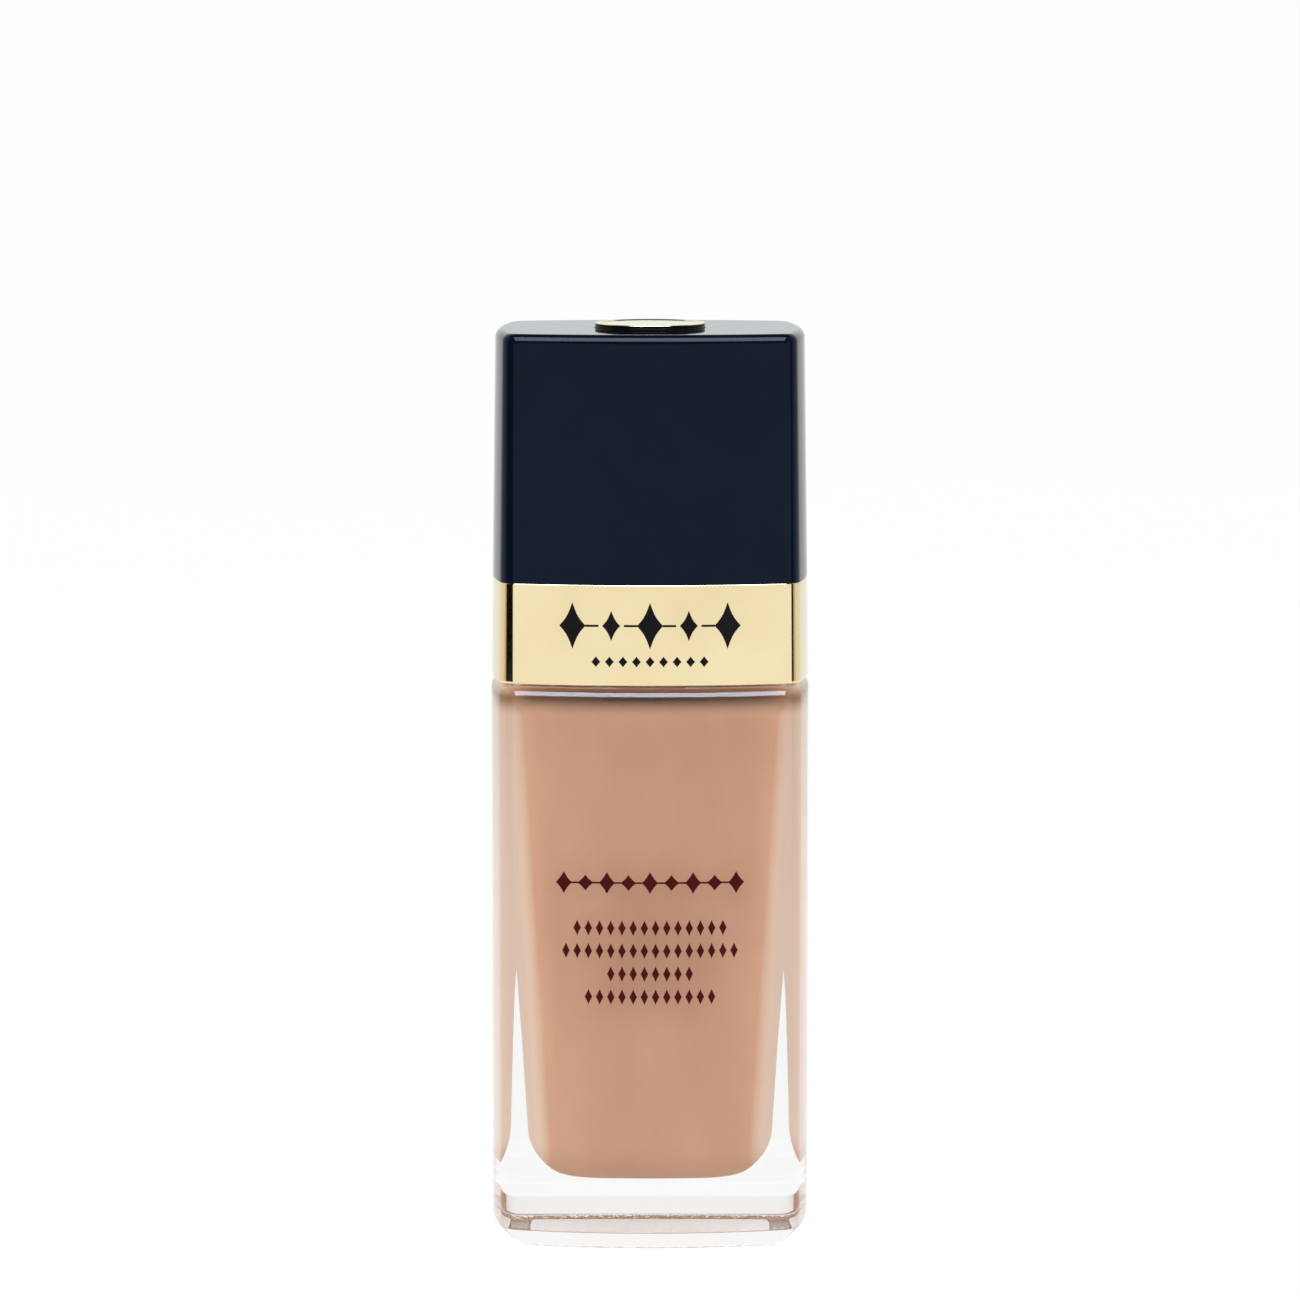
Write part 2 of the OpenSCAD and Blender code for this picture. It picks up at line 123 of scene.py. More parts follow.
# A path through corners (across, height, rounding), with an arc at each rounded corner
# and a guard point beside each arc, which keeps the flats flat
def roundedPath(corners, closed=False, steps=8, guard=0.1, leastGuard=0.01):
    path = []
    count = len(corners)
    for i, (px, pz, r) in enumerate(corners):
        here = Vector((px, pz))
        if r == 0 or (not closed and i in (0, count - 1)):
            path.append((px, pz))
            continue
        before = Vector(corners[i - 1][:2])
        after = Vector(corners[(i + 1) % count][:2])
        a = (before - here).normalized()
        b = (after - here).normalized()
        halfAngle = math.acos(max(-1, min(1, a.dot(b)))) / 2
        reach = r / math.tan(halfAngle)
        limit = arcShare * min((before - here).length, (after - here).length)
        if reach > limit:
            reach = limit
            r = reach * math.tan(halfAngle)
        centre = here + (a + b).normalized() * (r / math.sin(halfAngle))
        start = here + a * reach
        end = here + b * reach
        turn = math.pi - 2 * halfAngle
        aside = min(guard, 0.4 * (limit / arcShare / 2 - reach))
        if aside > leastGuard:
            path.append(tuple(start + a * aside))
        v0 = start - centre
        sign = 1 if v0.x * (end - centre).y - v0.y * (end - centre).x > 0 else -1
        for k in range(steps + 1):
            t = sign * turn * k / steps
            path.append((centre.x + v0.x * math.cos(t) - v0.y * math.sin(t),
                         centre.y + v0.x * math.sin(t) + v0.y * math.cos(t)))
        if aside > leastGuard:
            path.append(tuple(end + b * aside))
    return path


sharpEdge = 40          # degrees between two faces from which their edge is sharp


def finishMesh(name, points, faces, material):
    mesh = bpy.data.meshes.new(name)
    mesh.from_pydata([(x * mm, y * mm, z * mm) for x, y, z in points], [], faces)
    mesh.validate()
    mesh.update()
    mesh.materials.append(material)
    mesh.shade_smooth()
    mesh.set_sharp_from_angle(angle=math.radians(sharpEdge))
    piece = bpy.data.objects.new(name, mesh)
    bpy.context.scene.collection.objects.link(piece)
    return piece


# A surface through rings of equal length; closed joins the last ring to the first,
# otherwise both ends get a flat face
def ringMesh(name, rings, material, closed=False):
    n = len(rings[0])
    m = len(rings)
    points = [p for ring in rings for p in ring]
    faces = []
    for j in range(m if closed else m - 1):
        a = j * n
        b = ((j + 1) % m) * n
        for i in range(n):
            k = (i + 1) % n
            faces.append((a + i, a + k, b + k, b + i))
    if not closed:
        faces.append(tuple(range(n - 1, -1, -1)))
        faces.append(tuple((m - 1) * n + i for i in range(n)))
    piece = finishMesh(name, points, faces, material)
    faceOutward(piece)
    return piece


def faceOutward(piece):
    work = bmesh.new()
    work.from_mesh(piece.data)
    bmesh.ops.recalc_face_normals(work, faces=work.faces)
    if work.calc_volume(signed=True) < 0:
        bmesh.ops.reverse_faces(work, faces=work.faces)
    work.to_mesh(piece.data)
    work.free()


def turnedRings(path, count=128):
    angles = [fullTurn * i / count for i in range(count)]
    return [[(r * math.cos(a), r * math.sin(a), z) for a in angles] for r, z in path]


def place(piece, body, slot, *nodes):
    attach(piece, body)
    if nodes:
        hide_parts(*nodes)


def newMaterial(name):
    material = bpy.data.materials.new(name)
    material.use_nodes = True
    nodes = material.node_tree.nodes
    return material, nodes, material.node_tree.links, nodes["Principled BSDF"]


# Noise in the object's own space: size is the width of one blotch in millimetres
def noiseAt(nodes, links, size, detail=3, stretch=(1, 1, 1)):
    coords = nodes.new("ShaderNodeTexCoord")
    mapping = nodes.new("ShaderNodeMapping")
    mapping.inputs["Scale"].default_value = stretch
    noise = nodes.new("ShaderNodeTexNoise")
    noise.inputs["Scale"].default_value = 1 / (size * mm)
    noise.inputs["Detail"].default_value = detail
    links.new(coords.outputs["Object"], mapping.inputs["Vector"])
    links.new(mapping.outputs["Vector"], noise.inputs["Vector"])
    return noise.outputs["Fac"]


def rampBetween(nodes, links, factor, low, high, start=0.3, end=0.7):
    ramp = nodes.new("ShaderNodeValToRGB")
    ramp.color_ramp.elements[0].position = start
    ramp.color_ramp.elements[1].position = end
    ramp.color_ramp.elements[0].color = (*low, 1)
    ramp.color_ramp.elements[1].color = (*high, 1)
    links.new(factor, ramp.inputs["Fac"])
    return ramp.outputs["Color"]


def valueBetween(nodes, links, factor, low, high, start=0, end=1, smooth=False):
    span = nodes.new("ShaderNodeMapRange")
    if smooth:
        span.interpolation_type = "SMOOTHSTEP"
    span.inputs["From Min"].default_value = start
    span.inputs["From Max"].default_value = end
    span.inputs["To Min"].default_value = low
    span.inputs["To Max"].default_value = high
    links.new(factor, span.inputs["Value"])
    return span.outputs["Result"]


# A Math node whose inputs are other nodes' outputs or plain numbers
def compute(nodes, links, operation, *values):
    node = nodes.new("ShaderNodeMath")
    node.operation = operation
    for socket, value in zip(node.inputs, values):
        if isinstance(value, (int, float)):
            socket.default_value = value
        else:
            links.new(value, socket)
    return node.outputs["Value"]


def addBump(nodes, links, shader, factor, height):
    bump = nodes.new("ShaderNodeBump")
    bump.inputs["Distance"].default_value = height * mm
    bump.inputs["Strength"].default_value = 1
    links.new(factor, bump.inputs["Height"])
    links.new(bump.outputs["Normal"], shader.inputs["Normal"])


clearGlass = {
    "ior": 1.5,
    "tint": (0.935, 0.94, 0.94),
    "roughness": (0.0, 0.012),
    "wave": 7,              # mm across one wave of the pressed surface
    "waveHeight": 0.004,    # mm
    "frost": (0.45, 0.03, 0.35, 0.6),     # the hollow under the base: grain, height, roughness
    "stipple": (0.7, 0.4, 0.05, 0.2),     # the ring that it stands on, the same
}


def makeGlass():
    material, nodes, links, shader = newMaterial("pressedGlass")
    shader.inputs["Base Color"].default_value = (*clearGlass["tint"], 1)
    shader.inputs["IOR"].default_value = clearGlass["ior"]
    shader.inputs["Transmission Weight"].default_value = 1
    wave = noiseAt(nodes, links, clearGlass["wave"], 2)
    links.new(valueBetween(nodes, links, wave, *clearGlass["roughness"]), shader.inputs["Roughness"])
    addBump(nodes, links, shader, wave, clearGlass["waveHeight"])
    return material


def makeRoughGlass(name, grain, height, smooth, rough):
    material, nodes, links, shader = newMaterial(name)
    shader.inputs["Base Color"].default_value = (1, 1, 1, 1)
    shader.inputs["IOR"].default_value = clearGlass["ior"]
    shader.inputs["Transmission Weight"].default_value = 1
    fine = noiseAt(nodes, links, grain, 2)
    links.new(valueBetween(nodes, links, fine, smooth, rough), shader.inputs["Roughness"])
    addBump(nodes, links, shader, fine, height)
    return material


cream = {
    "deep": (0.55, 0.288, 0.168),
    "pale": (0.60, 0.330, 0.200),
    "swirl": 6,
    "roughness": (0.5, 0.62),
    "paintedSideLight": (0.72, 0.53, 0.405),     # painted light: paler cream on the narrow sides, standing in for their brighter side lighting
    "paintedSideFacing": (0.65, 0.98),      # how far a face turns sideways for the painted side light, from start to full
    "gloss": 0.05,
}


def makeCream():
    material, nodes, links, shader = newMaterial("foundationCream")
    swirl = noiseAt(nodes, links, cream["swirl"], 4, (1, 1, 0.4))
    body = rampBetween(nodes, links, swirl, cream["deep"], cream["pale"])
    geometry = nodes.new("ShaderNodeNewGeometry")
    facing = nodes.new("ShaderNodeSeparateXYZ")
    links.new(geometry.outputs["Normal"], facing.inputs["Vector"])
    sideways = compute(nodes, links, "ABSOLUTE", facing.outputs["X"])
    # painted light: faces that turn sideways get the paler, side-lit cream
    mix = nodes.new("ShaderNodeMix")
    mix.data_type = "RGBA"
    mix.inputs["B"].default_value = (*cream["paintedSideLight"], 1)
    links.new(valueBetween(nodes, links, sideways, 0, 1, *cream["paintedSideFacing"]), mix.inputs["Factor"])
    links.new(body, mix.inputs["A"])
    links.new(mix.outputs["Result"], shader.inputs["Base Color"])
    links.new(valueBetween(nodes, links, swirl, *cream["roughness"]), shader.inputs["Roughness"])
    shader.inputs["Specular IOR Level"].default_value = cream["gloss"]
    return material


lacquer = {
    "shade": (0.0012, 0.0045, 0.015),
    "sheen": (0.0020, 0.0065, 0.019),
    "blotch": 9,
    "roughness": (0.035, 0.06),
    "gloss": 0.11,
    "peel": 1.1,
    "peelHeight": 0.0004,
}


def makeLacquer():
    material, nodes, links, shader = newMaterial("navyBlackLacquer")
    blotch = noiseAt(nodes, links, lacquer["blotch"], 5)
    colour = rampBetween(nodes, links, blotch, lacquer["shade"], lacquer["sheen"])
    links.new(colour, shader.inputs["Base Color"])
    links.new(valueBetween(nodes, links, blotch, *lacquer["roughness"]), shader.inputs["Roughness"])
    shader.inputs["Specular IOR Level"].default_value = lacquer["gloss"]
    peel = noiseAt(nodes, links, lacquer["peel"], 2)
    addBump(nodes, links, shader, peel, lacquer["peelHeight"])
    return material


gold = {
    "deep": (0.83, 0.70, 0.41),
    "bright": (0.90, 0.77, 0.49),
    "cloud": 12,
    "grain": 0.35,
    "roughness": (0.07, 0.13),
    "grainHeight": 0.00025,
}


def makeGold():
    material, nodes, links, shader = newMaterial("paleGoldAnodised")
    cloud = noiseAt(nodes, links, gold["cloud"])
    grain = noiseAt(nodes, links, gold["grain"], stretch=(1, 1, 0.25))
    links.new(rampBetween(nodes, links, cloud, gold["deep"], gold["bright"]), shader.inputs["Base Color"])
    links.new(valueBetween(nodes, links, grain, *gold["roughness"]), shader.inputs["Roughness"])
    shader.inputs["Metallic"].default_value = 1
    addBump(nodes, links, shader, grain, gold["grainHeight"])
    return material


plasticBlotch = 5       # mm across one blotch of a plastic's colour


def makePlastic(name, low, high, roughness, gloss=0.5, grain=0.5, height=0.002):
    material, nodes, links, shader = newMaterial(name)
    blotch = noiseAt(nodes, links, plasticBlotch, 4)
    fine = noiseAt(nodes, links, grain)
    links.new(rampBetween(nodes, links, blotch, low, high), shader.inputs["Base Color"])
    links.new(valueBetween(nodes, links, fine, *roughness), shader.inputs["Roughness"])
    shader.inputs["Specular IOR Level"].default_value = gloss
    addBump(nodes, links, shader, fine, height)
    return material


steel = {
    "deep": (0.55, 0.55, 0.57),
    "bright": (0.68, 0.68, 0.7),
    "grain": 0.15,
    "roughness": (0.16, 0.28),
}


def makeSteel():
    material, nodes, links, shader = newMaterial("drawnSteel")
    fine = noiseAt(nodes, links, steel["grain"])
    links.new(rampBetween(nodes, links, fine, steel["deep"], steel["bright"]), shader.inputs["Base Color"])
    links.new(valueBetween(nodes, links, fine, *steel["roughness"]), shader.inputs["Roughness"])
    shader.inputs["Metallic"].default_value = 1
    return material


glassFinish = makeGlass()
frostedFinish = makeRoughGlass("frostedGlass", *clearGlass["frost"])
stippledFinish = makeRoughGlass("stippledGlass", *clearGlass["stipple"])
creamFinish = makeCream()
lacquerFinish = makeLacquer()
goldFinish = makeGold()
blackFinish = makePlastic("blackPolypropylene", (0.008, 0.008, 0.01), (0.014, 0.014, 0.017), (0.16, 0.26))
naturalFinish = makePlastic("naturalPolypropylene", (0.74, 0.75, 0.74), (0.82, 0.82, 0.8), (0.3, 0.42))
gasketFinish = makePlastic("foamedGasket", (0.62, 0.62, 0.6), (0.72, 0.72, 0.7), (0.6, 0.75),
                           gloss=0.3, grain=0.3, height=0.006)
# black print ink, also used for the painted dark reflection on the medallion's side
blackInkAndPaintedReflection = makePlastic("blackInkAndPaintedReflection", (0.004, 0.003, 0.004), (0.008, 0.006, 0.007), (0.22, 0.34),
                       gloss=0.1, grain=0.2, height=0.001)
maroonInk = makePlastic("maroonInk", (0.055, 0.002, 0.002), (0.075, 0.003, 0.003), (0.35, 0.5),
                        gloss=0.08, grain=0.2, height=0.001)
steelFinish = makeSteel()
print("finishes made")


bottle = {
    "shoulder": glassHigh.z - 12,
    "shoulderRound": 1.3,
    "heel": 2.4,
    "heelRound": 0.3,
    "footRound": 2.2,       # between the bevel and the ring that it stands on
    "plinthInset": 2.5,
    "plinthHeight": 0.9,
    "recessInset": 5,
    "recessHeight": 0.5,
    "underside": 0.1,       # how far from the hollow's height its rough face may lie
    "facingDown": -0.75,    # the Z of a face's normal below which it is rough
    "neckRadius": 8.1,
    "boreRadius": 5.8,
    "threadHeight": 0.85,
    "threadPitch": 3.2,
    "threadTurns": 1.25,
    "threadDrop": 5.2,      # start of the thread below the neck's top
    "threadReach": 1.0,     # from the middle of a thread to its foot
    "threadSlope": 0.55,
    "threadFade": 0.08,     # part of a turn in which an end fades out
    "threadZone": 7.5,
    "threadRings": 60,
    "lipZone": 0.5,
    "wallTop": 2.2,
    "wallLow": 5.4,
    "wallFace": 2.7,
    "floor": 7.8,
    "bowlRound": 5.6,
    "domeRound": 2,
    "cavityCorner": 4,
    "cornerShare": 0.42,    # the most of the cavity's smaller side that a corner may take
    "ceilingDrop": 1.8,
}
ceiling = bottle["shoulder"] - bottle["ceilingDrop"]


def glassRing(inset, z):
    corner = max(plan["cornerRadius"] - inset / 2, plan["leastCorner"])
    ring = bowedOutline(plan["width"] - 2 * inset, plan["depth"] - 2 * inset, corner)
    return [(x, y, z) for x, y in ring]


outlineAngles = [math.atan2(y, x) for x, y, _ in glassRing(0, 0)]


def roundRing(radius, z):
    return [(radius * math.cos(a), radius * math.sin(a), z) for a in outlineAngles]


def cavityRing(inset, z, grow=0.0):
    rise = min(max((z - bottle["floor"]) / (ceiling - bottle["floor"]), 0), 1)
    wall = bottle["wallLow"] + (bottle["wallTop"] - bottle["wallLow"]) * rise
    width = plan["width"] - 2 * wall - 2 * inset + 2 * grow
    depth = plan["depth"] - 2 * bottle["wallFace"] - 2 * inset + 2 * grow
    corner = min(bottle["cavityCorner"], bottle["cornerShare"] * min(width, depth))
    return [(x, y, z) for x, y in bowedOutline(width, depth, corner)]


# The cavity from its floor to its ceiling; grow swells it a little into the glass
def cavityRings(grow=0.0):
    floor = bottle["floor"]
    path = roundedPath([
        (8, floor, 0),
        (0, floor, bottle["bowlRound"]),
        (0, (floor + ceiling) / 2, 0),
        (0, ceiling, bottle["domeRound"]),
        (5, ceiling, 0)], steps=16)
    nearEnd = 0.5
    rings = []
    for inset, z in path:
        lift = grow if z > ceiling - nearEnd else (-grow if z < floor + nearEnd else 0)
        rings.append([(x, y, z + lift) for x, y, _ in cavityRing(inset, z, grow)])
    return rings


def threadBulge(angle, z):
    start = glassHigh.z - bottle["threadDrop"]
    turn = (angle % fullTurn) / fullTurn
    bulge = 0
    for lap in range(2):
        turns = turn + lap
        if turns > bottle["threadTurns"]:
            continue
        fade = min(1, turns / bottle["threadFade"], (bottle["threadTurns"] - turns) / bottle["threadFade"])
        off = abs(z - start - bottle["threadPitch"] * turns)
        k = min(max((bottle["threadReach"] - off) / bottle["threadSlope"], 0), 1)
        bulge = max(bulge, bottle["threadHeight"] * k * k * (3 - 2 * k) * fade)
    return bulge


def makeBottle():
    b = bottle
    top = glassHigh.z
    plinth = b["shoulder"] + b["plinthHeight"]
    outside = roundedPath([
        (b["recessInset"] + 2, b["recessHeight"], 0),
        (b["recessInset"] + 0.4, b["recessHeight"], 0.15),
        (b["recessInset"], 0, 0.2),
        (b["heel"], 0, b["footRound"]),
        (0, b["heel"], b["heelRound"]),
        (0, b["shoulder"], b["shoulderRound"]),
        (b["plinthInset"], b["shoulder"], 0.3),
        (b["plinthInset"] + 0.2, plinth, 0.3),
        (b["plinthInset"] + 1.5, plinth, 0)])
    rings = [glassRing(inset, z) for inset, z in outside]
    neck = roundedPath([
        (b["neckRadius"] + 1.2, plinth, 0),
        (b["neckRadius"], plinth, 0.5),
        (b["neckRadius"], top - b["threadZone"], 0)])
    rings += [roundRing(r, z) for r, z in neck]
    for i in range(1, b["threadRings"]):
        z = top - b["threadZone"] + (b["threadZone"] - b["lipZone"]) * i / b["threadRings"]
        reaches = [b["neckRadius"] + threadBulge(a, z) for a in outlineAngles]
        rings.append([(r * math.cos(a), r * math.sin(a), z) for r, a in zip(reaches, outlineAngles)])
    mouth = roundedPath([
        (b["neckRadius"], top - b["lipZone"], 0),
        (b["neckRadius"], top, 0.35),
        (b["boreRadius"], top, 0.4),
        (b["boreRadius"], ceiling, 0.8),
        (b["boreRadius"] + 1.5, ceiling, 0)])
    rings += [roundRing(r, z) for r, z in mouth]
    rings += cavityRings()[::-1]
    piece = ringMesh("bottleGlass", rings, glassFinish)
    piece.data.materials.append(frostedFinish)
    piece.data.materials.append(stippledFinish)
    for face in piece.data.polygons:
        above = face.center.z / mm - b["recessHeight"]
        if above < b["underside"] and face.normal.z < b["facingDown"]:
            face.material_index = 1 if above > -b["underside"] else 2
    piece.visible_shadow = False      # clear glass lets the light through to the fill
    place(piece, "bottle", "clear_glass", "glass_bottle")


fill = {
    "wellRadius": 5.5,      # the room that the pump takes
    "tubeRadius": 1.8,
    "gap": 0.3,             # below the pump and below its tube
    "swell": 0.03,          # into the glass, so that no air shows between
}


def makeFill():
    well = fill["wellRadius"]
    tube = fill["tubeRadius"]
    top = ceiling + fill["swell"]
    wellFloor = housingLow.z - fill["gap"]
    tubeFloor = tubeFoot - fill["gap"]
    path = roundedPath([
        (well + 1.2, top, 0),
        (well, top, 0.15),
        (well, wellFloor, 0.4),
        (tube, wellFloor, 0.2),
        (tube, tubeFloor, 0.2),
        (tube / 2, tubeFloor, 0)])
    rings = cavityRings(fill["swell"]) + [roundRing(r, z) for r, z in path]
    piece = ringMesh("foundationCreamFill", rings, creamFinish)
    place(piece, "bottle", "foundation", "foundation_fill")


makeBottle()
makeFill()
print("bottle and fill made")


cap = {
    "play": 0.05,           # how far the cap stands inside the glass's outline
    "draft": 0.8,           # degrees
    "foot": bandLow.z,
    "top": shellTop,
    "wall": 1.6,
    "lid": 1.8,
    "edgeRound": 0.95,
    "bandTop": bandHigh.z + 0.04,
    "bandThick": 0.5,
    "bandFit": 0.03,        # between the band and the shell
    "lipHeight": 0.45,
    "discRadius": (discHigh.x - discLow.x) / 2,
    "discDepth": 0.8,
    "discFit": 0.05,
    "grooveHeight": 0.26,   # of the medallion's groove above the cap
    "grooveDepth": 0.14,
    "grooveHalf": 0.06,
    "dish": 0.08,           # of the medallion's face below its rim
    "darkReflectionZone": 0.3,        # where its painted dark reflection may lie, inwards
    "rimZone": 0.06,        # and how far below its top it ends
}


def capLean(z):
    return cap["play"] + (z - cap["foot"]) * math.tan(math.radians(cap["draft"]))


def capRing(inset, z):
    lean = capLean(z) + inset
    corner = max(plan["cornerRadius"] - lean, plan["leastCorner"])
    return [(x, y, z) for x, y in bowedOutline(plan["width"] - 2 * lean, plan["depth"] - 2 * lean, corner)]


def makeCapShell():
    c = cap
    seam = c["bandTop"]
    sole = c["foot"] + c["lipHeight"]
    path = roundedPath([
        (c["wall"] + 4, c["top"] - c["lid"], 0),
        (c["wall"], c["top"] - c["lid"], 0.8),
        (c["wall"], sole, 0.1),
        (c["bandThick"], sole, 0.05),
        (c["bandThick"], seam, 0.05),
        (0, seam, 0.05),
        (0, c["top"], c["edgeRound"]),
        (4, c["top"], 0)], steps=14)
    rings = [capRing(inset, z) for inset, z in path]
    hole = c["discRadius"] + c["discFit"]
    pocket = roundedPath([
        (c["discRadius"] + 1.4, c["top"], 0),
        (hole, c["top"], 0.06),
        (hole, c["top"] - c["discDepth"], 0),
        (c["discRadius"] - 1, c["top"] - c["discDepth"], 0)])
    rings += [roundRing(r, z) for r, z in pocket]
    place(ringMesh("capShellLacquered", rings, lacquerFinish), "cap", "cap_black", "cap_shell")


def makeBand():
    c = cap
    inner = c["bandThick"] - c["bandFit"]
    sole = c["foot"] + c["lipHeight"] - c["bandFit"]
    path = roundedPath([
        (inner, bandHigh.z, 0.04),
        (0, bandHigh.z, 0.07),
        (0, c["foot"], 0.3),
        (c["wall"], c["foot"], 0.1),
        (c["wall"], sole, 0.05),
        (inner, sole, 0.05)], closed=True)
    rings = [capRing(inset, z) for inset, z in path]
    place(ringMesh("capBandGold", rings, goldFinish, closed=True), "cap", "gold_metal", "cap_band")


def makeMedallion():
    r = cap["discRadius"]
    low = discLow.z
    top = discHigh.z
    groove = cap["top"] + cap["grooveHeight"]
    half = cap["grooveHalf"]
    path = roundedPath([
        (r - 1, low, 0),
        (r, low, 0.1),
        (r, groove - half, 0.05),
        (r - cap["grooveDepth"], groove, 0.05),
        (r, groove + half, 0.05),
        (r, top, 0.12),
        (r - 0.5, top, 0.1),
        (r - 0.6, top - cap["dish"], 0.06),
        (r - 2, top - cap["dish"], 0)], steps=6, guard=0.03)
    piece = ringMesh("capMedallion", turnedRings(path, 192), goldFinish)
    piece.data.materials.append(blackInkAndPaintedReflection)
    # painted reflection: the disc's side gets black ink in place of the dark reflection it shows
    for face in piece.data.polygons:
        reach = face.center.xy.length / mm
        if reach > r - cap["darkReflectionZone"] and face.center.z / mm < top - cap["rimZone"]:
            face.material_index = 1       # painted dark reflection on the edge
    place(piece, "cap", "gold_metal", "cap_medallion")


makeCapShell()
makeBand()
makeMedallion()
print("cap made")


# Plain ornament in the places and colours of the real prints
ornament = {
    "ink": 0.02,            # how thick the ink lies
    "root": 0.01,           # how far it goes into what it is printed on
    "bandMiddle": 71.1,
    "bandPitch": 4.3,
    "bandCount": 5,
    "bandLarge": (2.9, 5.2),
    "bandSmall": (2.0, 3.4),
    "bandBar": (1.5, 0.24),
    "bandHollow": 0.16,
    "dotRow": 67.1,
    "dotCount": 9,
    "dotPitch": 1.5,
    "dot": (1.0, 1.2),
    "dotHollow": 0.04,
    "glassMiddle": 42.3,
    "glassPitch": 2.4,
    "glassCount": 9,
    "glassLarge": (1.8, 2.5),
    "glassSmall": (1.8, 1.8),
    "glassBar": (0.8, 0.2),
    "glassHollow": 0.1,
    "rowHeights": (37.2, 34.6, 32.0, 29.4),
    "rowLengths": (17, 20, 10.5, 15.5),
    "beadPitch": 1.25,
    "bead": (0.85, 1.8),
    "beadHollow": 0.06,
}


# A flat shape given by (x, z) points, laid on the bowed front at the depth that frontAt gives
def inkShape(points, faces, outline, middle, frontAt):
    x0, z0 = middle
    first = len(points)
    for layer in (ornament["root"], -ornament["ink"]):
        for x, z in outline:
            points.append((x0 + x, frontAt(x0 + x, z0 + z) + layer, z0 + z))
    n = len(outline)
    faces.append(tuple(first + i for i in range(n - 1, -1, -1)))
    faces.append(tuple(first + n + i for i in range(n)))
    for i in range(n):
        k = (i + 1) % n
        faces.append((first + i, first + k, first + n + k, first + n + i))


# A lozenge with hollowed sides
def lozenge(width, height, hollow, steps=5):
    corners = [(width / 2, 0), (0, height / 2), (-width / 2, 0), (0, -height / 2)]
    outline = []
    for i in range(4):
        ax, az = corners[i]
        bx, bz = corners[(i + 1) % 4]
        for k in range(steps):
            t = k / steps
            pull = 1 - hollow * 4 * t * (1 - t)
            outline.append(((ax + (bx - ax) * t) * pull, (az + (bz - az) * t) * pull))
    return outline


def bar(width, height, steps=3):
    top = [(width / 2 - width * i / steps, height / 2) for i in range(steps + 1)]
    return top + [(-x, -z) for x, z in top]


# The glass stands upright, so its front is as deep at every height
def glassFront(x, z):
    r = plan["faceRadius"]
    return -plan["depth"] / 2 + r - math.sqrt(r * r - x * x)


def bandFront(x, z):
    return glassFront(x, z) + capLean(z)


# A centred row of lozenges whose sizes take turns, with bars between them if link gives their size
def lozengeRow(shape, frontAt, count, pitch, height, sizes, hollow, link=None):
    for i in range(count):
        x = (i - (count - 1) / 2) * pitch
        inkShape(*shape, lozenge(*sizes[i % len(sizes)], hollow), (x, height), frontAt)
        if i and link:
            inkShape(*shape, bar(*link), (x - pitch / 2, height), frontAt)


def makeBandOrnament():
    shape = ([], [])
    o = ornament
    lozengeRow(shape, bandFront, o["bandCount"], o["bandPitch"], o["bandMiddle"],
               (o["bandLarge"], o["bandSmall"]), o["bandHollow"], o["bandBar"])
    lozengeRow(shape, bandFront, o["dotCount"], o["dotPitch"], o["dotRow"], (o["dot"],), o["dotHollow"])
    piece = finishMesh("capBandOrnament", *shape, blackInkAndPaintedReflection)
    faceOutward(piece)
    place(piece, "cap", "cap_black")


def makeGlassOrnament():
    shape = ([], [])
    o = ornament
    lozengeRow(shape, glassFront, o["glassCount"], o["glassPitch"], o["glassMiddle"],
               (o["glassLarge"], o["glassSmall"]), o["glassHollow"], o["glassBar"])
    for height, length in zip(o["rowHeights"], o["rowLengths"]):
        count = round(length / o["beadPitch"])
        lozengeRow(shape, glassFront, count, o["beadPitch"], height, (o["bead"],), o["beadHollow"])
    piece = finishMesh("bottleOrnament", *shape, maroonInk)
    faceOutward(piece)
    place(piece, "bottle", "foundation")


makeBandOrnament()
makeGlassOrnament()
print("prints made")


pump = {
    "collarWall": 0.35,
    "collarHole": 6.5,
    "turretFlange": 1.1,
    "towerRadius": 4.2,
    "stemFit": 2.15,
    "plugRadius": 3.55,
    "skirtWall": 1.2,
    "headLid": 1.4,
    "bossRadius": 3.6,
    "bossGap": 4.8,         # from the turret up to the boss
    "socketDepth": 5.7,     # of the stem's socket below the head's top
    "dishSteps": 10,
    "dishRadius": 35,
    "dishDepth": 0.6,
    "sleeveWall": 0.35,
    "nozzleBore": 0.9,
    "nozzleNeck": 0.8,      # how much thinner its back end is
    "nozzleNeckLong": 2.2,
}


def makeCollar():
    r = (collarHigh.x - collarLow.x) / 2
    hole = pump["collarHole"]
    t = pump["collarWall"]
    low, top = collarLow.z, collarHigh.z
    path = roundedPath([
        (r - t, low, 0.05),
        (r, low, 0.12),
        (r, top, 0.7),
        (hole, top, 0.12),
        (hole, top - t, 0.08),
        (r - t, top - t, 0.4)], closed=True)
    piece = ringMesh("closureCollarGold", turnedRings(path), goldFinish, closed=True)
    place(piece, "closure", "gold_metal", "collar_shell")


def makeTurret():
    p = pump
    low, top = turretLow.z, turretHigh.z
    deck = housingHigh.z
    flange = (turretHigh.x - turretLow.x) / 2
    path = roundedPath([
        (p["stemFit"], low, 0.1),
        (p["plugRadius"], low, 0.15),
        (p["plugRadius"], deck, 0.1),
        (flange, deck, 0.05),
        (flange, deck + p["turretFlange"], 0.2),
        (p["towerRadius"], deck + p["turretFlange"], 0.25),
        (p["towerRadius"], top, 0.35),
        (p["stemFit"], top, 0.2)], closed=True)
    piece = ringMesh("pumpTurret", turnedRings(path), blackFinish, closed=True)
    place(piece, "pump_core", "black_plastic", "turret")


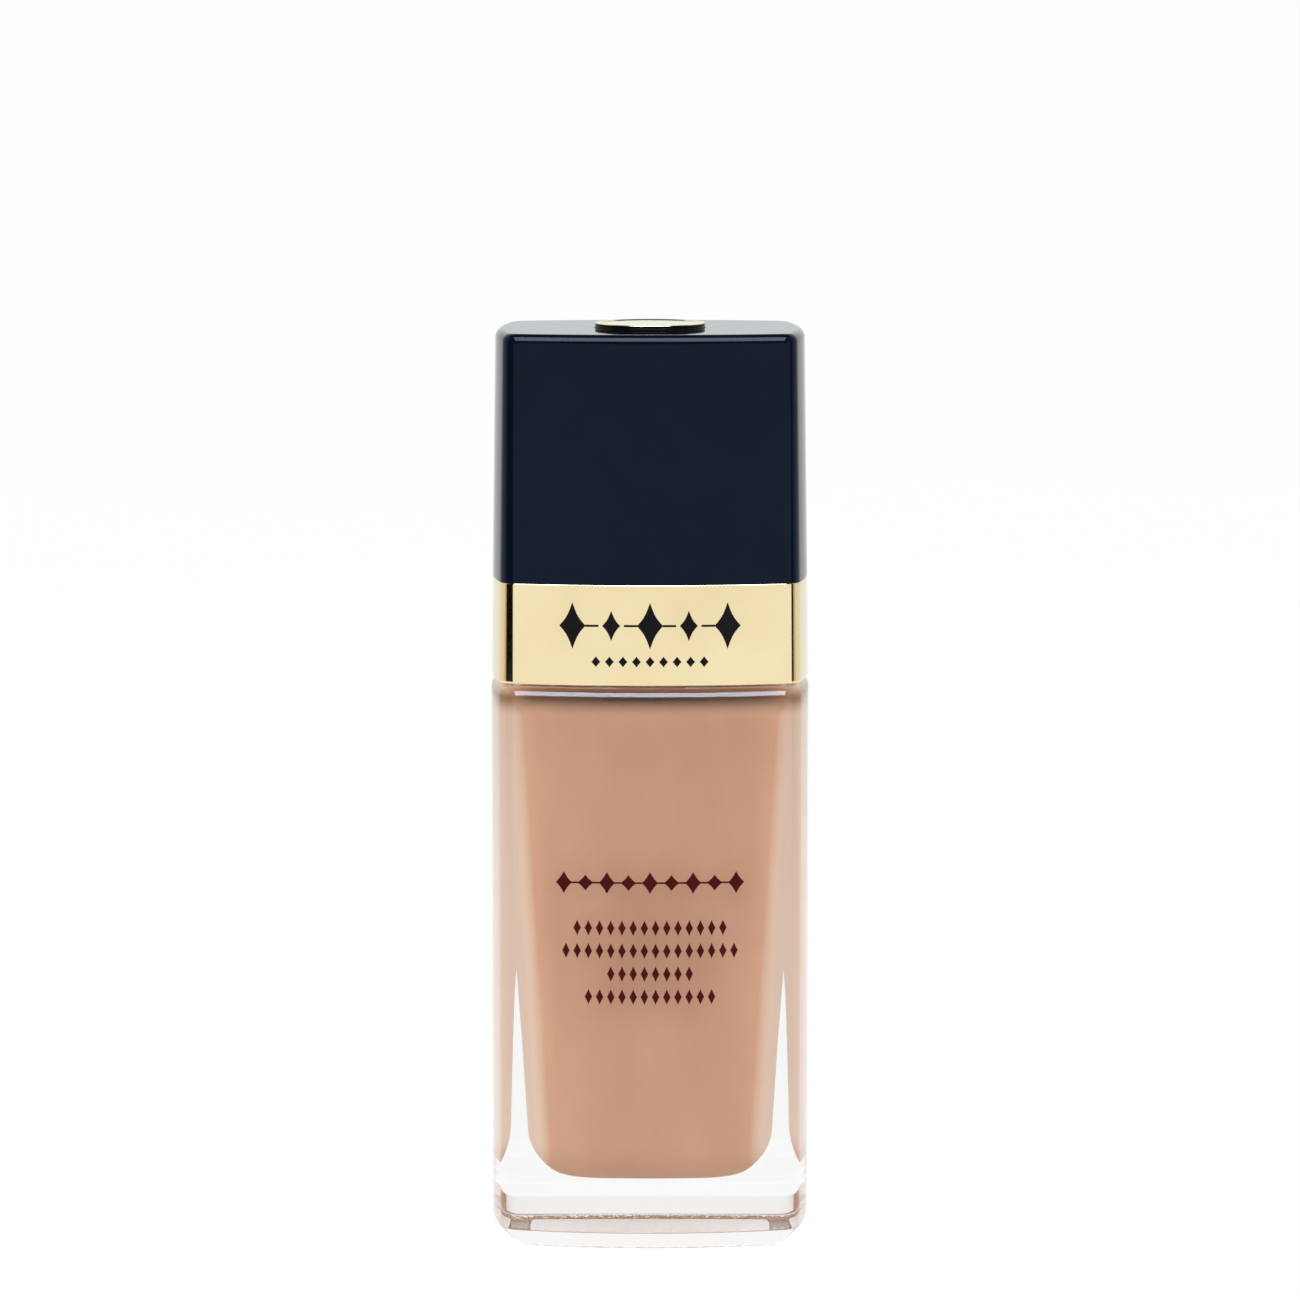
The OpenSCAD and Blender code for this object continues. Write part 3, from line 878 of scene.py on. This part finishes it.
def makeHead():
    p = pump
    r = (headHigh.x - headLow.x) / 2
    low, top = headLow.z, headHigh.z
    boss = p["bossRadius"]
    bossLow = turretHigh.z + p["bossGap"]
    socket = top - p["socketDepth"]
    ceilingZ = top - p["headLid"]
    skirt = r - p["skirtWall"]
    dishMiddle = p["dishRadius"] - p["dishDepth"]
    rim = math.sqrt(p["dishRadius"] ** 2 - dishMiddle ** 2)
    path = roundedPath([
        (p["stemFit"] - 1, socket, 0),
        (p["stemFit"], socket, 0.1),
        (p["stemFit"], bossLow, 0.15),
        (boss, bossLow, 0.15),
        (boss, ceilingZ, 0.3),
        (skirt, ceilingZ, 0.4),
        (skirt, low, 0.1),
        (r, low, 0.15),
        (r, top, 0.35),
        (rim, top, 0.2)])
    for i in range(1, p["dishSteps"]):
        across = rim * (1 - i / p["dishSteps"])
        drop = math.sqrt(p["dishRadius"] ** 2 - across ** 2) - dishMiddle
        path.append((across, top - drop))
    place(ringMesh("pumpHead", turnedRings(path), blackFinish), "actuator", "black_plastic", "actuator")


def makeSleeve():
    r = (sleeveHigh.x - sleeveLow.x) / 2
    t = pump["sleeveWall"]
    low, top = sleeveLow.z, sleeveHigh.z
    path = roundedPath([(r - t, low, 0.05), (r, low, 0.15), (r, top, 0.25), (r - t, top, 0.05)], closed=True)
    piece = ringMesh("pumpHeadSleeve", turnedRings(path), goldFinish, closed=True)
    place(piece, "actuator", "gold_metal", "actuator_sleeve")


def makeNozzle():
    r = (tipHigh.x - tipLow.x) / 2
    middle = (tipHigh.z + tipLow.z) / 2
    back, front = -tipHigh.y, -tipLow.y
    bore = pump["nozzleBore"]
    neck = r - pump["nozzleNeck"]
    step = back + pump["nozzleNeckLong"]
    path = roundedPath([
        (bore, back, 0.05),
        (neck, back, 0.1),
        (neck, step, 0.05),
        (r, step, 0.05),
        (r, front - 0.2, 0.5),
        (r - 0.7, front, 0.3),
        (bore + 0.25, front, 0.15),
        (bore, front - 0.5, 0.1)], closed=True)
    rings = [[(x, -reach, middle + y) for x, y, reach in ring] for ring in turnedRings(path, 64)]
    piece = ringMesh("nozzleTip", rings, blackFinish, closed=True)
    place(piece, "actuator", "black_plastic", "nozzle_tip")


spring = {
    "wire": 0.35,
    "turns": 7,
    "deadTurns": 1.0,       # closed turns at each end
    "deadGap": 0.02,
    "turnSteps": 36,
    "wirePoints": 12,
    "stroke": 4,            # of the head at its lowest
}


def makeSpring():
    s = spring
    low, high = springLow.z + s["wire"], springHigh.z - s["wire"]
    radius = (springHigh.x - springLow.x) / 2 - s["wire"]
    pitch = 2 * s["wire"] + s["deadGap"]
    dead = s["deadTurns"] * pitch
    whole = s["turns"] + 2 * s["deadTurns"]
    steps = int(whole * s["turnSteps"])
    rings = []
    for i in range(steps + 1):
        turns = whole * i / steps
        if turns < s["deadTurns"]:
            z = low + turns * pitch
        elif turns > whole - s["deadTurns"]:
            z = high - (whole - turns) * pitch
        else:
            z = low + dead + (high - low - 2 * dead) * (turns - s["deadTurns"]) / s["turns"]
        a = fullTurn * turns
        ring = []
        for k in range(s["wirePoints"]):
            q = fullTurn * k / s["wirePoints"]
            across = radius + s["wire"] * math.cos(q)
            ring.append((across * math.cos(a), across * math.sin(a), z + s["wire"] * math.sin(q)))
        rings.append(ring)
    piece = ringMesh("pumpSpring", rings, steelFinish)
    place(piece, "pump_core", "steel", "return_spring")
    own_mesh(piece)


makeCollar()
makeTurret()
makeHead()
makeSleeve()
makeNozzle()
makeSpring()
print("pump made")

# CAD pieces that keep their own shape
keptFinishes = {
    "dip_tube": naturalFinish,
    "pump_housing": naturalFinish,
    "inlet_ball": steelFinish,
    "piston_seat": naturalFinish,
    "piston": naturalFinish,
    "stem": naturalFinish,
    "stem_gasket": gasketFinish,
    "neck_gasket": gasketFinish,
    "closure": blackFinish,
    "cap_liner": naturalFinish,
}
for node, finish in keptFinishes.items():
    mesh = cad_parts[node].data
    mesh.materials.clear()
    mesh.materials.append(finish)
print("kept parts finished")


# In metres, except where a note says mm
studio = {
    "floorSize": 100,
    "floorPatch": 300,      # mm
    "floorTone": 0.05,
    "floorTones": 0.01,     # how much its tone varies
    "floorDrop": 0.05,      # mm below the object
    "floorGlow": 0.97,      # the floor is a light table
    "backdrop": 1.0,        # what the camera sees behind the object
    "wallGlow": 0.85,       # the white walls to the sides and behind, as reflections see them
    "wallFront": (-0.62, -0.5),         # where the walls begin, as the direction's Y
    "wallTop": (0.40, 0.5),             # and where they end, as its Z
    "wallTone": (0.93, 1, 0.985),
    "dimGlow": 0.1,
    "overPower": 12,        # the softbox over the object, in front
    "overSpot": (0, -0.75, 1.15),
    "overTarget": (0, 0, 0.06),
    "overSize": (1.6, 1.2),
    "overTone": (0.95, 0.98, 1),
    "panelGlow": 13,        # the same softbox as gloss sees it
    "panelTone": (0.75, 0.85, 1),
    "panelHalf": (0.8, 0.5, 0.344),     # half its width, depth and height
    "sidePower": 4,
    "sideSpot": (1.1, -0.15, 0.45),
    "sideTarget": (0, 0, 0.05),
    "sideSize": (1.0, 1.0),
    "cardReach": 0.215,
    "cardBlack": ((43.8, 80.5), (67.4, 79)),    # degrees from the front, left and right
    "cardCopper": 13,       # degrees of dull copper beside the black
    "cardEnd": 165,
    "cardHeight": 0.32,
    "cardHem": 40,          # mm of card that fades out at the floor
    "cardGlow": 1.02,
    "cardStops": (
        (0.25, (0, 0, 0)),
        (0.26, (0.5, 0.33, 0.26)),
        (0.5, (0.75, 0.6, 0.55)),
        (0.52, (0.8, 0.77, 0.7))),
    "cardPale": (0.86, 0.88, 0.88),
}


def makeFloor():
    material, nodes, links, shader = newMaterial("paleFloor")
    patch = noiseAt(nodes, links, studio["floorPatch"])
    tone = studio["floorTone"]
    pale = tone + studio["floorTones"]
    colour = rampBetween(nodes, links, patch, (tone, tone, tone), (pale, pale, pale))
    links.new(colour, shader.inputs["Base Color"])
    shader.inputs["Roughness"].default_value = 0.9
    shader.inputs["Specular IOR Level"].default_value = 0
    shader.inputs["Emission Color"].default_value = (1, 1, 1, 1)
    shader.inputs["Emission Strength"].default_value = studio["floorGlow"]
    half = studio["floorSize"] / 2 / mm
    corners = [(x * half, y * half, -studio["floorDrop"]) for x, y in ((-1, -1), (1, -1), (1, 1), (-1, 1))]
    finishMesh("paleFloor", corners, [(0, 1, 2, 3)], material)


def onlyForGloss(piece):
    piece.visible_camera = False
    piece.visible_diffuse = False
    piece.visible_shadow = False
    piece.visible_transmission = False


# The angle on a card at which its fade reaches a value
def cardAngle(stations, fade):
    for (a, low), (b, high) in zip(stations, stations[1:]):
        if fade <= high:
            return a + (b - a) * (fade - low) / (high - low)


# Two curved cards, left and right, black in front and fading to white at the back: only gloss sees them
def makeCards():
    material, nodes, links, shader = newMaterial("fadingCard")
    shader.inputs["Base Color"].default_value = (0, 0, 0, 1)
    shader.inputs["Specular IOR Level"].default_value = 0
    fade = nodes.new("ShaderNodeAttribute")
    fade.attribute_name = "fade"
    ramp = nodes.new("ShaderNodeValToRGB")
    ramp.color_ramp.elements[0].color = (0, 0, 0, 1)
    ramp.color_ramp.elements[1].color = (*studio["cardPale"], 1)
    for position, colour in studio["cardStops"]:
        ramp.color_ramp.elements.new(position).color = (*colour, 1)
    links.new(fade.outputs["Fac"], ramp.inputs["Fac"])
    links.new(ramp.outputs["Color"], shader.inputs["Emission Color"])
    shader.inputs["Emission Strength"].default_value = studio["cardGlow"]
    coords = nodes.new("ShaderNodeTexCoord")
    split = nodes.new("ShaderNodeSeparateXYZ")
    links.new(coords.outputs["Object"], split.inputs["Vector"])
    hem = valueBetween(nodes, links, split.outputs["Z"], 0, 1, 0, studio["cardHem"] * mm)
    links.new(hem, shader.inputs["Alpha"])
    reach = studio["cardReach"] / mm
    tall = studio["cardHeight"] / mm
    steps = 64
    for side, name, (near, far) in zip((-1, 1), ("cardLeft", "cardRight"), studio["cardBlack"]):
        stations = ((near, 0), (far, 0.25), (far + studio["cardCopper"], 0.5), (studio["cardEnd"], 1))
        points, faces = [], []
        for i in range(steps + 1):
            a = math.radians(cardAngle(stations, i / steps))
            points += [(side * reach * math.sin(a), -reach * math.cos(a), z) for z in (0, tall)]
            if i:
                faces.append((2 * i - 2, 2 * i, 2 * i + 1, 2 * i - 1))
        card = finishMesh(name, points, faces, material)
        values = card.data.attributes.new("fade", "FLOAT", "POINT")
        values.data.foreach_set("value", [i / steps for i in range(steps + 1) for _ in range(2)])
        onlyForGloss(card)


# The face of the softbox over the object, which only gloss sees
def makePanel():
    material, _, _, shader = newMaterial("softboxFace")
    shader.inputs["Base Color"].default_value = (0, 0, 0, 1)
    shader.inputs["Specular IOR Level"].default_value = 0
    shader.inputs["Emission Color"].default_value = (*studio["panelTone"], 1)
    shader.inputs["Emission Strength"].default_value = studio["panelGlow"]
    middle = Vector(studio["overSpot"]) / mm
    wide, deep, high = (length / mm for length in studio["panelHalf"])
    edges = ((-1, 1), (1, 1), (1, -1), (-1, -1))
    corners = [middle + Vector((across * wide, -down * deep, -down * high)) for across, down in edges]
    onlyForGloss(finishMesh("softboxFace", corners, [(0, 1, 2, 3)], material))


def addSoftbox(name, spot, target, size, power, tone=(1, 1, 1)):
    data = bpy.data.lights.new(name, "AREA")
    data.shape = "RECTANGLE"
    data.size, data.size_y = size
    data.energy = power
    data.color = tone
    lamp = bpy.data.objects.new(name, data)
    lamp.location = spot
    lamp.rotation_euler = (Vector(target) - Vector(spot)).to_track_quat("-Z", "Y").to_euler()
    lamp.visible_camera = False
    lamp.visible_glossy = False
    bpy.context.scene.collection.objects.link(lamp)


# Plain white where it is seen; walls and dimness where it is reflected or lights
def makeWorld():
    world = bpy.data.worlds.new("studioWalls")
    world.use_nodes = True
    bpy.context.scene.world = world
    nodes = world.node_tree.nodes
    links = world.node_tree.links
    nodes.clear()
    coords = nodes.new("ShaderNodeTexCoord")
    split = nodes.new("ShaderNodeSeparateXYZ")
    links.new(coords.outputs["Generated"], split.inputs["Vector"])
    across, up = split.outputs["Y"], split.outputs["Z"]
    behind = valueBetween(nodes, links, across, 0, studio["wallGlow"], *studio["wallFront"], smooth=True)
    below = valueBetween(nodes, links, up, 1, 0, *studio["wallTop"], smooth=True)
    walls = compute(nodes, links, "MULTIPLY", behind, below)
    glow = compute(nodes, links, "ADD", walls, studio["dimGlow"])
    lit = nodes.new("ShaderNodeBackground")
    lit.inputs["Color"].default_value = (*studio["wallTone"], 1)
    links.new(glow, lit.inputs["Strength"])
    plain = nodes.new("ShaderNodeBackground")
    plain.inputs["Color"].default_value = (1, 1, 1, 1)
    plain.inputs["Strength"].default_value = studio["backdrop"]
    path = nodes.new("ShaderNodeLightPath")
    direct = path.outputs["Is Camera Ray"]
    through = path.outputs["Is Transmission Ray"]
    seen = compute(nodes, links, "MAXIMUM", direct, through)
    mix = nodes.new("ShaderNodeMixShader")
    links.new(seen, mix.inputs["Fac"])
    links.new(lit.outputs["Background"], mix.inputs[1])
    links.new(plain.outputs["Background"], mix.inputs[2])
    output = nodes.new("ShaderNodeOutputWorld")
    links.new(mix.outputs["Shader"], output.inputs["Surface"])


makeFloor()
makeCards()
makeWorld()
addSoftbox("softboxOver", studio["overSpot"], studio["overTarget"], studio["overSize"], studio["overPower"],
           studio["overTone"])
makePanel()
aside, front, up = studio["sideSpot"]
for side, name in ((-1, "softboxLeft"), (1, "softboxRight")):
    addSoftbox(name, (side * aside, front, up), studio["sideTarget"], studio["sideSize"], studio["sidePower"])
print("studio made")


view = {
    "distance": 0.5957,
    "height": 0.1431,
    "tilt": 7.28,           # degrees below level
    "lens": 146.7,
    "sensor": 36,
    "shiftY": -0.0025,
}


def makeCamera():
    data = bpy.data.cameras.new("productCamera")
    data.sensor_width = view["sensor"]
    data.lens = view["lens"]
    data.shift_y = view["shiftY"]
    data.clip_start = 0.01
    camera = bpy.data.objects.new("productCamera", data)
    camera.location = (0, -view["distance"], view["height"])
    camera.rotation_euler = (math.radians(90 - view["tilt"]), 0, 0)
    bpy.context.scene.collection.objects.link(camera)
    bpy.context.scene.camera = camera
    bpy.context.scene.view_settings.view_transform = "Standard"


makeCamera()
print("camera made")
